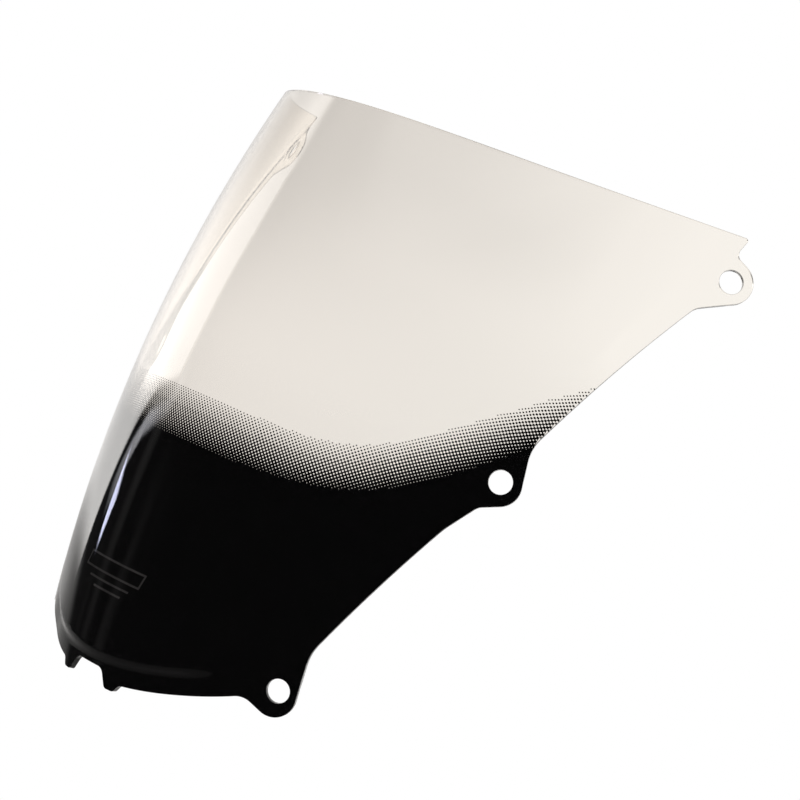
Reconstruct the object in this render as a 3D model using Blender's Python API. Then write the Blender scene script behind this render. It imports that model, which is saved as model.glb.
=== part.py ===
"""Windshield screen of a sport motorcycle, built as separate closed solids.

Frame: X runs across the bike and X = 0 is its plane of symmetry, the nose points to -Y and +Z is up.
Units are metres.

A place on the sheet is written (u, v). u is the distance round the sheet from the centre line, and v is
the distance up the crown from the nose. sheet_point turns (u, v) and a depth below the outer face
into a place in space. One triangulated plan of half the sheet serves every solid, so the shell and the
printed films stay parallel, and the other half is its mirror image.
"""
import math

import bmesh
import bpy
from mathutils import Vector
from mathutils.geometry import delaunay_2d_cdt, intersect_point_line

MM = 0.001

# The sheet: its thickness, the crown profile in the plane of symmetry, and the section across it.
THICKNESS = 3.0 * MM
CROWN_RADIUS = 870 * MM            # the crown is an arc in side view
NOSE_PITCH = math.radians(69)      # steepness of the crown at v = 0
FLANK_ANGLE = math.radians(38.5)   # how far each flank turns back from the crown
BEND_NOSE = 66 * MM                # how gently it turns: distance scale at v = 0
BEND_GROWTH = 0.194                # and its growth for each metre up the crown
FLANK_BOW = 3.5                    # bow of the flanks, rad/m for each metre above BOW_START
BOW_START = 63 * MM

# Mounting holes and ears. A flat pad surrounds each hole. Ear centres differ a little from the holes.
HOLE_RADIUS = 6.5 * MM
HOLES = ((243.9 * MM, 361.7 * MM), (189.8 * MM, 187.4 * MM), (119.2 * MM, 29.8 * MM))
EAR_CENTRES = (HOLES[0], (189.5 * MM, 186.4 * MM), (117.7 * MM, 27.2 * MM))
EAR_RADIUS = 12.1 * MM
PAD_RING = 8.6 * MM                # ring of the plan inside the flat part
PAD_RADIUS = 9 * MM                # flat out to here
PAD_BLEND = 13 * MM                # and back on the formed surface here

# Top edge and bottom edge: parabolas in (u, v).
TOP_CENTRE, TOP_TIP = 346 * MM, (239.5 * MM, 391 * MM)
TOP_RISE = (TOP_TIP[1] - TOP_CENTRE) / TOP_TIP[0] ** 2
BOTTOM_CENTRE, BOTTOM_RISE = -1.6 * MM, 2.155

# Corners of the rim between the ears: u, v and corner radius.
NOTCH_CORNER = (238.4 * MM, 377.6 * MM, 4 * MM)
EAR_1_FOOT = (235.5 * MM, 335.0 * MM, 10 * MM)
EAR_2_HEAD = (197.4 * MM, 213.5 * MM, 12 * MM)
EAR_2_FOOT = (184.3 * MM, 168.5 * MM, 8 * MM)
SIDE_BEND = (171.9 * MM, 146.2 * MM, 60 * MM)
EAR_3_HEAD = (129.6 * MM, 55.5 * MM, 25 * MM)
EAR_3_FOOT = (101.5 * MM, 20.6 * MM, 12 * MM)
TOOTH_ROOT = (28.0 * MM, 0.1 * MM, 4 * MM)
TOOTH_OUTER = (24.8 * MM, -4.5 * MM, 3 * MM)
TOOTH_INNER = (18.0 * MM, -4.5 * MM, 3 * MM)
ARCH_CORNER = (12.0 * MM, 5.2 * MM, 6 * MM)

# The mounting margin is stepped inwards along the nose and along the upper sides, and the step fades out
# between them. It runs parallel to the bottom edge and to the straight lines through the holes.
STEP_DEPTH = 2.2 * MM
STEP_OUTER = 8 * MM                # the step starts this far inboard of those lines
STEP_INNER = 16.5 * MM             # and ends here
STEP_ROUNDING = 4 * MM             # how softly it turns the corner between two lines
NOSE_STEP_FADE = (55 * MM, 100 * MM)    # u over which the step of the nose fades out
SIDE_STEP_FADE = (165 * MM, 275 * MM)   # v over which the step of the sides comes in

# Printed films on the inner face. Two layers, each clear of the next solid by FILM_GAP.
FILM_THICKNESS = 0.2 * MM
FILM_GAP = 0.3 * MM
FIRST_LAYER = THICKNESS + FILM_GAP
SECOND_LAYER = FIRST_LAYER + FILM_THICKNESS + FILM_GAP
# Upper edge and foot of the fading band: level at the crown, corner, softness and slope on the flank.
BAND_EDGE = (163.8 * MM, 120.4 * MM, 17.2 * MM, 1.08)
BAND_FOOT = (136.2 * MM, 138.4 * MM, 25.1 * MM, 1.28)

# The plain mark low on the crown: a slanted frame.
MARK_CENTRE = (-5 * MM, 57 * MM)
MARK_SIZE = (56 * MM, 9 * MM)
MARK_LINE = 1.2 * MM
MARK_SLANT = 0.3

# Fineness of the plan.
GRID = 11 * MM
ARC_STEP = math.radians(18)
SECTION_STEPS = 12
NUDGE = 0.05 * MM                  # for slopes by differences


# ---------------------------------------------------------------- the formed surface

def section(u, v):
    """Place on the cross section at height v: distance across, and setback behind the crown."""
    reach = abs(u)
    bend = BEND_NOSE + BEND_GROWTH * v
    bow = FLANK_BOW * (v - BOW_START)
    across = setback = 0.0
    for i in range(SECTION_STEPS):
        t = reach * (i + 0.5) / SECTION_STEPS
        turn = FLANK_ANGLE * math.tanh(t / bend) + bow * t
        across += math.cos(turn) * reach / SECTION_STEPS
        setback += math.sin(turn) * reach / SECTION_STEPS
    return math.copysign(across, u), setback


def smooth_formed(u, v):
    """The surface before the margin is stepped and the pads are flattened."""
    across, setback = section(u, v)
    pitch = NOSE_PITCH - v / CROWN_RADIUS
    crown_y = CROWN_RADIUS * (math.sin(NOSE_PITCH) - math.sin(pitch))
    crown_z = CROWN_RADIUS * (math.cos(pitch) - math.cos(NOSE_PITCH))
    return Vector((across, crown_y + setback * math.sin(pitch), crown_z - setback * math.cos(pitch)))


def facing(surface, u, v):
    """Outward unit normal of a surface function at (u, v)."""
    along_u = surface(u + NUDGE, v) - surface(u - NUDGE, v)
    along_v = surface(u, v + NUDGE) - surface(u, v - NUDGE)
    return along_u.cross(along_v).normalized()


def line_inset(a, b, u, v):
    """Distance of (u, v) inboard of the straight line from a down to b."""
    du, dv = a[0] - b[0], a[1] - b[1]
    return (du * (v - b[1]) - dv * (u - b[0])) / math.hypot(du, dv)


def inset(u, v):
    """Distance inboard of the rim lines: the lines through the holes and the bottom edge, as one."""
    u = abs(u)
    slope = 2 * BOTTOM_RISE * u
    distances = (line_inset(HOLES[0], HOLES[1], u, v),
                 line_inset(HOLES[1], HOLES[2], u, v),
                 (v - BOTTOM_CENTRE - BOTTOM_RISE * u * u) / math.hypot(1, slope))
    return -STEP_ROUNDING * math.log(sum(math.exp(-d / STEP_ROUNDING) for d in distances))


def ease(t):
    """Smooth rise from 0 to 1 with no kink in slope or curvature."""
    t = min(max(t, 0.0), 1.0)
    return t * t * t * (t * (6 * t - 15) + 10)


def stepped(u, v):
    """The surface with its mounting margin stepped inwards."""
    nose = 1 - ease((abs(u) - NOSE_STEP_FADE[0]) / (NOSE_STEP_FADE[1] - NOSE_STEP_FADE[0]))
    sides = ease((v - SIDE_STEP_FADE[0]) / (SIDE_STEP_FADE[1] - SIDE_STEP_FADE[0]))
    share = max(nose, sides) * ease((STEP_INNER - inset(u, v)) / (STEP_INNER - STEP_OUTER))
    point = smooth_formed(u, v)
    if share > 0:
        point -= facing(smooth_formed, u, v) * STEP_DEPTH * share
    return point


def make_pads():
    """Seat of each near-side hole: a point on the outer face and the way it faces."""
    return [(stepped(u, v), facing(smooth_formed, u, v)) for u, v in HOLES]


PADS = make_pads()


def outer_face(u, v):
    """The finished outer face: stepped margin and a flat pad round each hole."""
    side = 1.0 if u >= 0 else -1.0
    point = stepped(abs(u), v)
    for seat, normal in PADS:
        away = point - seat
        if away.length < PAD_BLEND:
            flat = 1 - ease((away.length - PAD_RADIUS) / (PAD_BLEND - PAD_RADIUS))
            point -= normal * away.dot(normal) * flat
    point.x *= side
    return point


def sheet_point(u, v, depth):
    """Place in space of (u, v), at a depth below the outer face."""
    return outer_face(u, v) - facing(outer_face, u, v) * depth


# ---------------------------------------------------------------- outlines in (u, v)

def shrink(u, v):
    """How much a length along v is shortened by the setback of the flank."""
    return 1 - section(u, v)[1] / CROWN_RADIUS


def arc_points(centre, radius, start, end):
    """Points of an arc that is round on the formed sheet, from one angle to another."""
    k = shrink(*centre)
    count = max(2, math.ceil(abs(end - start) / ARC_STEP))
    angles = [start + (end - start) * i / count for i in range(count + 1)]
    return [(centre[0] + radius * math.cos(a), centre[1] + radius * math.sin(a) / k) for a in angles]


def rounded_corner(before, corner, after):
    """Points of the arc that rounds a corner (u, v, radius) between two neighbours."""
    u, v, radius = corner
    k = shrink(u, v)
    back = Vector((before[0] - u, (before[1] - v) * k)).normalized()
    ahead = Vector((after[0] - u, (after[1] - v) * k)).normalized()
    half = back.angle(ahead) / 2
    towards = (back + ahead).normalized()
    centre = towards * radius / math.sin(half)
    sweep = math.pi - 2 * half
    side = 1 if back.cross(ahead) < 0 else -1
    start = math.atan2(-towards.y, -towards.x) - side * sweep / 2
    return arc_points((u + centre.x, v + centre.y / k), radius, start, start + side * sweep)


def ear_arc(before, centre, after):
    """Clockwise arc round an ear, tangent to the straight flanks that run to its two neighbours."""
    k = shrink(*centre)
    angles = []
    for neighbour, sign in ((before, -1), (after, 1)):
        du, dv = neighbour[0] - centre[0], (neighbour[1] - centre[1]) * k
        angles.append(math.atan2(dv, du) + sign * math.acos(EAR_RADIUS / math.hypot(du, dv)))
    while angles[1] > angles[0]:
        angles[1] -= math.tau
    return arc_points(centre, EAR_RADIUS, angles[0], angles[1])


def top_edge(u):
    return TOP_CENTRE + TOP_RISE * u * u


def bottom_edge(u):
    return BOTTOM_CENTRE + BOTTOM_RISE * u * u


def evenly(start, end, step):
    count = max(1, round(abs(end - start) / step))
    return [start + (end - start) * i / count for i in range(count + 1)]


def half_rim():
    """The rim of the +X half, from the middle of the top edge round to the middle of the nose arch."""
    top = [(u, top_edge(u)) for u in evenly(0, TOP_TIP[0] - 3 * MM, GRID)]
    bottom = [(u, bottom_edge(u)) for u in evenly(EAR_3_FOOT[0] - 6 * MM, TOOTH_ROOT[0] + 4 * MM, GRID)]
    ears = EAR_CENTRES
    rim = list(top)
    rim += rounded_corner(top[-1], (*TOP_TIP, 1.5 * MM), NOTCH_CORNER)
    rim += rounded_corner(TOP_TIP, NOTCH_CORNER, ear_arc(NOTCH_CORNER, ears[0], EAR_1_FOOT)[0])
    for head, ear, foot, beyond in ((NOTCH_CORNER, ears[0], EAR_1_FOOT, EAR_2_HEAD),
                                    (EAR_2_HEAD, ears[1], EAR_2_FOOT, SIDE_BEND),
                                    (EAR_3_HEAD, ears[2], EAR_3_FOOT, bottom[0])):
        ear_points = ear_arc(head, ear, foot)
        if head is EAR_2_HEAD:
            rim += rounded_corner(EAR_1_FOOT, head, ear_points[0])
        if head is EAR_3_HEAD:
            rim += rounded_corner(EAR_2_FOOT, SIDE_BEND, head)
            rim += rounded_corner(SIDE_BEND, head, ear_points[0])
        rim += ear_points
        rim += rounded_corner(ear_points[-1], foot, beyond)
    rim += bottom
    rim += rounded_corner(bottom[-1], TOOTH_ROOT, TOOTH_OUTER)
    rim += rounded_corner(TOOTH_ROOT, TOOTH_OUTER, TOOTH_INNER)
    rim += rounded_corner(TOOTH_OUTER, TOOTH_INNER, ARCH_CORNER)
    rim += rounded_corner(TOOTH_INNER, ARCH_CORNER, (0, ARCH_CORNER[1]))
    rim.append((0.0, ARCH_CORNER[1]))
    return subdivided(rim)


def subdivided(line):
    """The same line with points added where two neighbours lie more than a grid step apart."""
    dense = [line[0]]
    for (u0, v0), (u1, v1) in zip(line, line[1:]):
        count = max(1, math.ceil(math.hypot(u1 - u0, v1 - v0) / GRID))
        dense += [(u0 + (u1 - u0) * i / count, v0 + (v1 - v0) * i / count) for i in range(1, count + 1)]
    return dense


def band_line(u, edge):
    """Height of one edge of the fading band: level over the crown, then rising along the flank."""
    level, corner, softness, slope = edge
    return level + slope * softness * math.log1p(math.exp((abs(u) - corner) / softness))


def band_points(edge, rim):
    """One edge of the band, from the centre line to the rim."""
    line = []
    for u in evenly(0, TOP_TIP[0], GRID):
        point = (u, band_line(u, edge))
        line.append(point)
        if not inside(rim, point) and u > 0:
            break
    return line


def step_line(distance):
    """Line that runs at one distance inboard of the rim lines, from the nose to near the top edge."""
    hub = (0.0, 190 * MM)
    line = []
    for angle in evenly(math.radians(-90), math.radians(42), math.radians(3.2)):
        near, far = 0.0, 400 * MM
        for _ in range(40):
            middle = (near + far) / 2
            u, v = hub[0] + middle * math.cos(angle), hub[1] + middle * math.sin(angle)
            near, far = (middle, far) if inset(u, v) > distance else (near, middle)
        if v > top_edge(u) - STEP_INNER:
            break
        line.append((max(u, 0.0), v))
    return line


# ---------------------------------------------------------------- the plan and the solids

def inside(loop, point):
    """Whether a point lies inside a closed loop."""
    u, v = point
    within = False
    for (u0, v0), (u1, v1) in zip(loop, loop[1:] + loop[:1]):
        if (v0 > v) != (v1 > v) and u < u0 + (v - v0) * (u1 - u0) / (v1 - v0):
            within = not within
    return within


def clearance(point, segments):
    """Distance from a point to the nearest segment."""
    spot = Vector((*point, 0))
    best = 1.0
    for a, b in segments:
        a, b = Vector((*a, 0)), Vector((*b, 0))
        foot, share = intersect_point_line(spot, a, b)
        foot = a if share < 0 else b if share > 1 else foot
        best = min(best, (spot - foot).length)
    return best


def thinned(line, crossing):
    """A line without those inner points that lie close to the lines that cross it."""
    segments = [pair for other in crossing for pair in zip(other, other[1:])]
    inner = [point for point in line[1:-1] if clearance(point, segments) > 0.3 * GRID]
    return line[:1] + inner + line[-1:]


def half_plan():
    """Triangles of the +X half of the sheet in (u, v), cut along the band edges and the step."""
    rim = half_rim()
    centre_line = [(0.0, v) for v in evenly(rim[-1][1], rim[0][1], GRID)][1:-1]
    loop = rim + centre_line
    chains = [loop + loop[:1]]
    holes = []
    for hole in HOLES:
        ring = arc_points(hole, HOLE_RADIUS, 0, math.tau)[:-1]
        pad = arc_points(hole, PAD_RING, 0, math.tau)[:-1]
        holes.append(ring)
        chains += [ring + ring[:1], pad + pad[:1]]
    bands = [band_points(edge, rim) for edge in (BAND_EDGE, BAND_FOOT)]
    steps = [step_line(distance) for distance in (STEP_OUTER, STEP_INNER)]
    chains += [thinned(band, steps) for band in bands]
    chains += [thinned(step, bands) for step in steps]

    points, edges, segments = [], [], []
    for chain in chains:
        first = len(points)
        points += chain
        edges += [(first + i, first + i + 1) for i in range(len(chain) - 1)]
        segments += list(zip(chain, chain[1:]))
    rows = evenly(0, 400 * MM, GRID * math.sqrt(0.75))
    for row, v in enumerate(rows):
        for column in range(24):
            point = (GRID * (column + 0.5 * (row % 2)), v)
            if inside(loop, point) and clearance(point, segments) > 0.55 * GRID:
                points.append(point)

    flat, _, triangles, *_ = delaunay_2d_cdt([Vector(p) for p in points], edges, [], 0, 1e-7)
    kept = []
    for triangle in triangles:
        middle = [sum(flat[i][axis] for i in triangle) / 3 for axis in (0, 1)]
        if middle[0] > 1e-6 and inside(loop, middle) and not any(inside(ring, middle) for ring in holes):
            kept.append((triangle, middle))
    return [tuple(p) for p in flat], kept


def both_halves(points, triangles):
    """Mirror a half plan over the centre line. The points on the line are shared."""
    full = list(points)
    twin = {}
    for i, (u, v) in enumerate(points):
        if u < 1e-6:
            full[i] = (0.0, v)
            twin[i] = i
        else:
            twin[i] = len(full)
            full.append((-u, v))
    faces = list(triangles)
    faces += [tuple(twin[i] for i in reversed(face)) for face in triangles]
    return full, faces


def material(name, colour, roughness, transmission=0.0):
    made = bpy.data.materials.new(name)
    made.use_nodes = True
    shader = made.node_tree.nodes["Principled BSDF"]
    shader.inputs["Base Color"].default_value = (*colour, 1)
    shader.inputs["Roughness"].default_value = roughness
    shader.inputs["Transmission Weight"].default_value = transmission
    shader.inputs["IOR"].default_value = 1.49
    return made


def sheet_solid(name, points, faces, depth, thickness, look):
    """Closed solid from faces of a plan: an upper skin, a lower skin and a wall along every edge."""
    used = sorted({i for face in faces for i in face})
    mesh = bmesh.new()
    upper = {i: mesh.verts.new(sheet_point(*points[i], depth)) for i in used}
    lower = {i: mesh.verts.new(sheet_point(*points[i], depth + thickness)) for i in used}
    rim = {}
    for face in faces:
        mesh.faces.new([upper[i] for i in face])
        mesh.faces.new([lower[i] for i in reversed(face)])
        for a, b in zip(face, face[1:] + face[:1]):
            if rim.pop((b, a), None) is None:
                rim[(a, b)] = True
    for a, b in rim:
        mesh.faces.new([upper[b], upper[a], lower[a], lower[b]])
    bmesh.ops.triangulate(mesh, faces=[f for f in mesh.faces if len(f.verts) > 3])
    bmesh.ops.recalc_face_normals(mesh, faces=mesh.faces)
    data = bpy.data.meshes.new(name)
    mesh.to_mesh(data)
    mesh.free()
    data.shade_smooth()
    data.set_sharp_from_angle(angle=math.radians(40))
    data.materials.append(look)
    solid = bpy.data.objects.new(name, data)
    bpy.context.scene.collection.objects.link(solid)
    return solid


def mark_plan():
    """Plan of the slanted frame: an outer and an inner parallelogram joined by a ring of faces."""
    def corners(width, height):
        outline = []
        for du, dv in ((-1, -1), (1, -1), (1, 1), (-1, 1)):
            v = dv * height / 2
            outline.append((MARK_CENTRE[0] + du * width / 2 + v * MARK_SLANT, MARK_CENTRE[1] + v))
        return outline

    def densified(loop):
        dense = []
        for (u0, v0), (u1, v1) in zip(loop, loop[1:] + loop[:1]):
            count = 4 if abs(u1 - u0) > abs(v1 - v0) else 1
            dense += [(u0 + (u1 - u0) * i / count, v0 + (v1 - v0) * i / count) for i in range(count)]
        return dense

    outer = densified(corners(*MARK_SIZE))
    inner = densified(corners(MARK_SIZE[0] - 2.2 * MARK_LINE, MARK_SIZE[1] - 2 * MARK_LINE))
    n = len(outer)
    faces = []
    for i in range(n):
        j = (i + 1) % n
        faces += [(i, j, n + i), (j, n + j, n + i)]
    return outer + inner, faces


def clear_scene():
    for item in list(bpy.data.objects):
        bpy.data.objects.remove(item, do_unlink=True)


def main():
    clear_scene()
    points, kept = half_plan()
    clear, band, black = [], [], []
    for triangle, (u, v) in kept:
        if v > band_line(u, BAND_EDGE):
            clear.append(tuple(triangle))
        elif v > band_line(u, BAND_FOOT):
            band.append(tuple(triangle))
        else:
            black.append(tuple(triangle))

    ink = material("black_ink", (0.01, 0.01, 0.011), 0.35)
    solids = (
        ("screen_shell", clear + band + black, 0.0, THICKNESS,
         material("clear_acrylic", (0.93, 0.9, 0.86), 0.05, 0.9)),
        ("halftone_print", band, FIRST_LAYER, FILM_THICKNESS, material("halftone_ink", (0.2, 0.2, 0.2), 0.4)),
        ("black_print", black, SECOND_LAYER, FILM_THICKNESS, ink),
    )
    for name, half, depth, thickness, look in solids:
        full_points, faces = both_halves(points, half)
        sheet_solid(name, full_points, faces, depth, thickness, look)
    sheet_solid("maker_mark", *mark_plan(), FIRST_LAYER, FILM_THICKNESS,
                material("mark_ink", (0.25, 0.25, 0.26), 0.5))


if __name__ == "__main__":
    main()
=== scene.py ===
import math

import bpy
import numpy as np
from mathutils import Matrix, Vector
from mathutils.geometry import delaunay_2d_cdt


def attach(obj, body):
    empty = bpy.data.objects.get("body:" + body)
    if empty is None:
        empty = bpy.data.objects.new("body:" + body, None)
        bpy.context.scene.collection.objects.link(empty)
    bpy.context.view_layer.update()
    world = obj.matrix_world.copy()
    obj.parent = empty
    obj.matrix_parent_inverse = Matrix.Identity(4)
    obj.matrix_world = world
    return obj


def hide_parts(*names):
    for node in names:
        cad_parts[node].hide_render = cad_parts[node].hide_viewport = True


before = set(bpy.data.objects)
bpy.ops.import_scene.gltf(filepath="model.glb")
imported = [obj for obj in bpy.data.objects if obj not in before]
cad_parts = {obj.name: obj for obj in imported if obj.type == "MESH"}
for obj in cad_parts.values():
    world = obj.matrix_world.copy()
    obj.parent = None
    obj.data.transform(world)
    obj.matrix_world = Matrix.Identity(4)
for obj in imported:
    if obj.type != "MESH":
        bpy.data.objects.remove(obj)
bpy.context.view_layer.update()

MM = 0.001

# The formed sheet.
THICKNESS = 3.0 * MM
CROWN_RADIUS = 870 * MM
NOSE_PITCH = math.radians(69)
FLANK_ANGLE = math.radians(38.5)
BEND_NOSE = 66 * MM
BEND_GROWTH = 0.194
FLANK_BOW = 3.5
BOW_START = 63 * MM
SECTION_STEPS = 12

# Mounting holes, ears and the flat pads round the holes.
HOLE_RADIUS = 6.5 * MM
HOLES = ((243.9 * MM, 361.7 * MM), (189.8 * MM, 187.4 * MM), (119.2 * MM, 29.8 * MM))
EAR_CENTRES = (HOLES[0], (189.5 * MM, 186.4 * MM), (117.7 * MM, 27.2 * MM))
EAR_RADIUS = 12.1 * MM
PAD_RADIUS = 9 * MM
PAD_BLEND = 13 * MM

# Top edge, bottom edge and the corners of the rim: u, v and corner radius.
TOP_CENTRE, TOP_TIP = 346 * MM, (239.5 * MM, 391 * MM)
TOP_RISE = (TOP_TIP[1] - TOP_CENTRE) / TOP_TIP[0] ** 2
BOTTOM_CENTRE, BOTTOM_RISE = -1.6 * MM, 2.155
TIP_RADIUS = 1.5 * MM
NOTCH_CORNER = (238.4 * MM, 377.6 * MM, 4 * MM)
EAR_1_FOOT = (235.5 * MM, 335.0 * MM, 10 * MM)
EAR_2_HEAD = (196.6 * MM, 212.5 * MM, 23 * MM)
EAR_2_FOOT = (184.3 * MM, 168.5 * MM, 8 * MM)
SIDE_BEND = (171.9 * MM, 146.2 * MM, 60 * MM)
EAR_3_HEAD = (129.6 * MM, 55.5 * MM, 25 * MM)
EAR_3_FOOT = (101.5 * MM, 20.6 * MM, 12 * MM)
TOOTH_ROOT = (28.0 * MM, 0.1 * MM, 4 * MM)
TOOTH_OUTER = (24.8 * MM, -4.5 * MM, 3 * MM)
TOOTH_INNER = (18.0 * MM, -4.5 * MM, 3 * MM)
ARCH_CORNER = (12.0 * MM, 5.2 * MM, 6 * MM)

# The margin that is stepped inwards along the nose and the upper sides.
STEP_DEPTH = 2.2 * MM
STEP_OUTER = 8 * MM
STEP_INNER = 16.5 * MM
STEP_ROUNDING = 4 * MM
NOSE_STEP_FADE = (55 * MM, 100 * MM)
SIDE_STEP_FADE = (165 * MM, 275 * MM)
SIDE_SHARE = 0.3                   # the sides' share of the step's depth

# The print. Each line of the fading band: level at the crown, then corner, softness and slope.
BAND_EDGE = (163.8 * MM, 120.4 * MM, 17.2 * MM, 1.08)
BAND_FOOT = (136.2 * MM, 138.4 * MM, 25.1 * MM, 1.28)
DOT_SIDES = 16
SMALLEST_HOLE = 0.02               # share of the area that is open at the foot
BAND_FADE = (0.62, 0.23)           # how the open share grows with the height in the band, and its square
BAND_OVERLAP = 1 * MM              # how far the band runs down over the solid black
LEAST_ROOM = 0.2                   # cells from the cut edge, below which a dot is left out
CLOSED_HOLE = 0.03                 # share of a cell below which a hole is closed
LEAST_DOT = 0.001                  # smallest share of a cell that a dot is worked out for
LARGEST_EDGE_DOT = 0.99            # largest share of a cell that a dot beside the cut edge covers
DOT_SAMPLES = 400                  # places along half a cell, to work out a dot's size from its share
FLATTEST_LINE = 0.05               # lowest level line that a dot may have
ROUNDS = 30                        # of halving or of substitution, for results by approach
# The dot screen was printed square on the flat sheet, and forming stretched it: cells per mm across and up,
# the columns' lean, and how both change with the cube of the distance from the centre line.
SCREEN_PITCH = (0.835, 0.815)
SCREEN_LEAN = 0.057
SCREEN_MIDDLE = 136                # mm up the crown, where the leaning columns stand true
SCREEN_STRETCH = (0.88e-6, 1.27e-6)
SCREEN_COLUMNS, SCREEN_ROWS = (-190, 191), (100, 250)

# Depths of the printed layers below the outer face. The black ink is bonded to the sheet, so its front lies
# a hair inside the inner face and its back a hair behind it. The mark lies just in front of the black.
INK_FRONT, INK_BACK = THICKNESS - 0.04 * MM, THICKNESS + 0.08 * MM
DOT_FRONT, DOT_BACK = THICKNESS - 0.06 * MM, THICKNESS + 0.06 * MM
MARK_FRONT, MARK_BACK = THICKNESS - 0.10 * MM, THICKNESS - 0.07 * MM
INK_BEAD = 0.02 * MM               # how far the ink stands out over the cut edge
DOT_MARGIN = 0.1 * MM              # the dots keep this far inside the cut edge

# The plain mark: a slanted frame over two bars. Each bar: its centre and its width.
MARK_CENTRE = (-5 * MM, 57 * MM)
MARK_SIZE = (56 * MM, 9 * MM)
MARK_BARS = (((-5 * MM, 48.6 * MM), 40 * MM), ((-3.5 * MM, 44.2 * MM), 27 * MM))
MARK_LINE = 1.2 * MM
MARK_SIDE_LINES = 2.2 * MARK_LINE  # both slanted lines of the frame together, which are a little wider
MARK_SLANT = 0.3
MARK_STEP = 2 * MM

# Fineness.
GRID = 2.0 * MM
ARC_STEP = math.radians(6)
NUDGE = 0.05 * MM                  # for slopes by differences
EDGE_ROUND = 0.3 * MM              # the outer corner of the cut edge is broken by this radius
EDGE_ROWS = 4
CROWDED = 0.12 * MM                # points of the rim closer than this are thinned out
EDGE_ROOM = 0.55 * GRID            # how far the grid's points keep from the plan's lines
GRID_SPAN = (250 * MM, 400 * MM)   # how far the grid reaches in u and in v
POINTS_AT_ONCE = (2000, 1000)      # for the tests inside() and clearance(), to spare memory
SHARP_ANGLE = math.radians(40)     # the films' edges are sharp beyond this angle

IOR = 1.49                         # of the acrylic, and taken for the ink too

# The acrylic's tint: the red share of the light that passes, by the place (u, v) on the sheet. It also holds
# painted shade on the cut edge and painted light in the margin.
RED = 0.885
GREEN, BLUE = (0.937, 0.08), (0.865, 0.10)      # share of the red: at the centre line, and added per metre
FAN_ZONE, FAN_START, FAN_RISE = (0.195, 0.300), -0.145, 1.17    # v from and to, at the centre, per metre
DIP_ZONE, DIP_SHARE = (0.265, 0.325), 0.36      # the tint dips between the centre line and the flank
DIP_END, DIP_SCALE = 0.185, 28.0
PRINT_ZONE, PRINT_SHADE = (0.165, 0.200), 0.022     # darker close above the print
MARGIN_LIGHT_ZONE, MARGIN_PAINTED_LIGHT = (0.25, 0.31), 0.045      # painted light: lighter in the margin by the rear ears, standing in for its brighter reflection
EDGE_SHADE_ZONE, PAINTED_EDGE_SHADE = (0.03, 0.10), 0.75      # u from and to, and how much painted shade darkens the cut edge
CLOUD = 0.012
FACE_ROUGHNESS, CUT_ROUGHNESS = (0.006, 0.018), 0.1

# Fine texture. A noise is its scale per metre, detail, roughness and stretch, and a bump its strength and
# depth. A range is the part of a noise's values that is spread out over the whole effect.
WIPING, WIPING_RANGE = (60, 4, 0.6, (1, 1, 7)), (0.45, 0.75)
CLOUDING = (9, 2)
RIPPLE, RIPPLE_BUMP = (14, 2), (0.04, 0.6 * MM)
MOTTLE, MOTTLE_RANGE = (900, 3), (0.35, 0.65)
SATIN, SATIN_RANGE, SATIN_ROUGHNESS = (160, 4), (0.3, 0.7), (0.26, 0.4)
GRAIN, GRAIN_BUMP = (2200, 2), (0.25, 0.03 * MM)
BONDED_ROUGHNESS = 0.6

# The inks: darker and lighter colour of the mottle.
INK_FRONT_COLOURS = ((0.0022, 0.0021, 0.0026), (0.0032, 0.0031, 0.0036))
INK_BACK_COLOURS = ((0.010, 0.010, 0.011), (0.015, 0.015, 0.016))
MARK_COLOURS = ((0.052, 0.052, 0.055), (0.064, 0.064, 0.067))

# Camera and stage.
EYE = (1.3282, -0.8066, 0.6456)
TARGET = (0.0700, 0.1635, 0.1393)
LENS = 138.27                      # mm, on the usual 36 mm wide sensor
WHITE = (1.0, 1.0, 1.0)
CEILING = (0.8, 0.784, 0.768)      # the world outside the wall, as the screen mirrors it
FLOOR_LEVEL = -0.25
FLOOR_RADIUS = 40.0
FLOOR_SIDES = 96
WALL_DISTANCE = 14.0
WALL_CENTRE = np.array((0.05, 0.13, 0.14))

# What is painted on the studio wall, by azimuth and elevation in degrees. An edge fades over its softness to
# either side, in degrees, and a glow of 1 is as bright as the white background.
WALL_AZIMUTHS = (-260, (-136, -58), 101)        # from, the finely divided part, and to
WALL_ELEVATIONS = (-78, (-26, 32), 60)
WALL_STEP, WALL_FINE_STEP = 4, 0.5
WALL_GLOW = 0.03                   # everywhere on the wall, and added to the rest
LAMP_TINT = (1.0, 0.98, 0.96)
# The softbox's near edge: its azimuth at each of the elevations.
BOX_EDGE = ((-90, -89.5, -88, -86.3, -84, -79.5, -68, -71, -72.7, -75.8),
            (-12, -8, -4.5, -1.5, 2, 7, 15, 20, 23.5, 26))
BOX_SIDE_SOFTNESS = 0.8
BOX_TOP, BOX_TOP_SOFTNESS = 27, 2.5
BOX_FOOT = (-92, -9)               # a point of the foot's slanted line
BOX_FOOT_SLOPE, BOX_FOOT_SOFTNESS = 0.36, 1.7
BOX_BEND = -88                     # azimuth from which the softbox's foot is level and its glow is full
BOX_GLOW, BOX_CORE, BOX_FALL = 0.65, 2.0, 14
RISE_START, RISE_SPAN = -5, 20     # elevations over which the softbox and the backdrop dim
BOX_DIMMING, CORE_DIMMING, BACKDROP_DIMMING = 0.75, 0.25, 0.3
TABLE_GLOW, TABLE_GAIN = 0.08, 0.37
TABLE_TURN, TABLE_FALL, TABLE_SOFTNESS = -104, 26, 2.2  # the gain falls off from this azimuth on
LOW_TABLE, LOW_TABLE_SOFTNESS = -28, 5                  # elevation of the brighter low part's edge
LOW_TABLE_GLOW, LOW_TABLE_GAIN = 0.15, 0.75
BEHIND, BEHIND_SOFTNESS = (-165, -85), (5, 8)           # azimuths between which the table is bright
BACKDROP_GLOW = 0.66
BACKDROP, BACKDROP_SOFTNESS = (-163, -115.5), 4         # azimuths between which the backdrop stands
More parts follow.
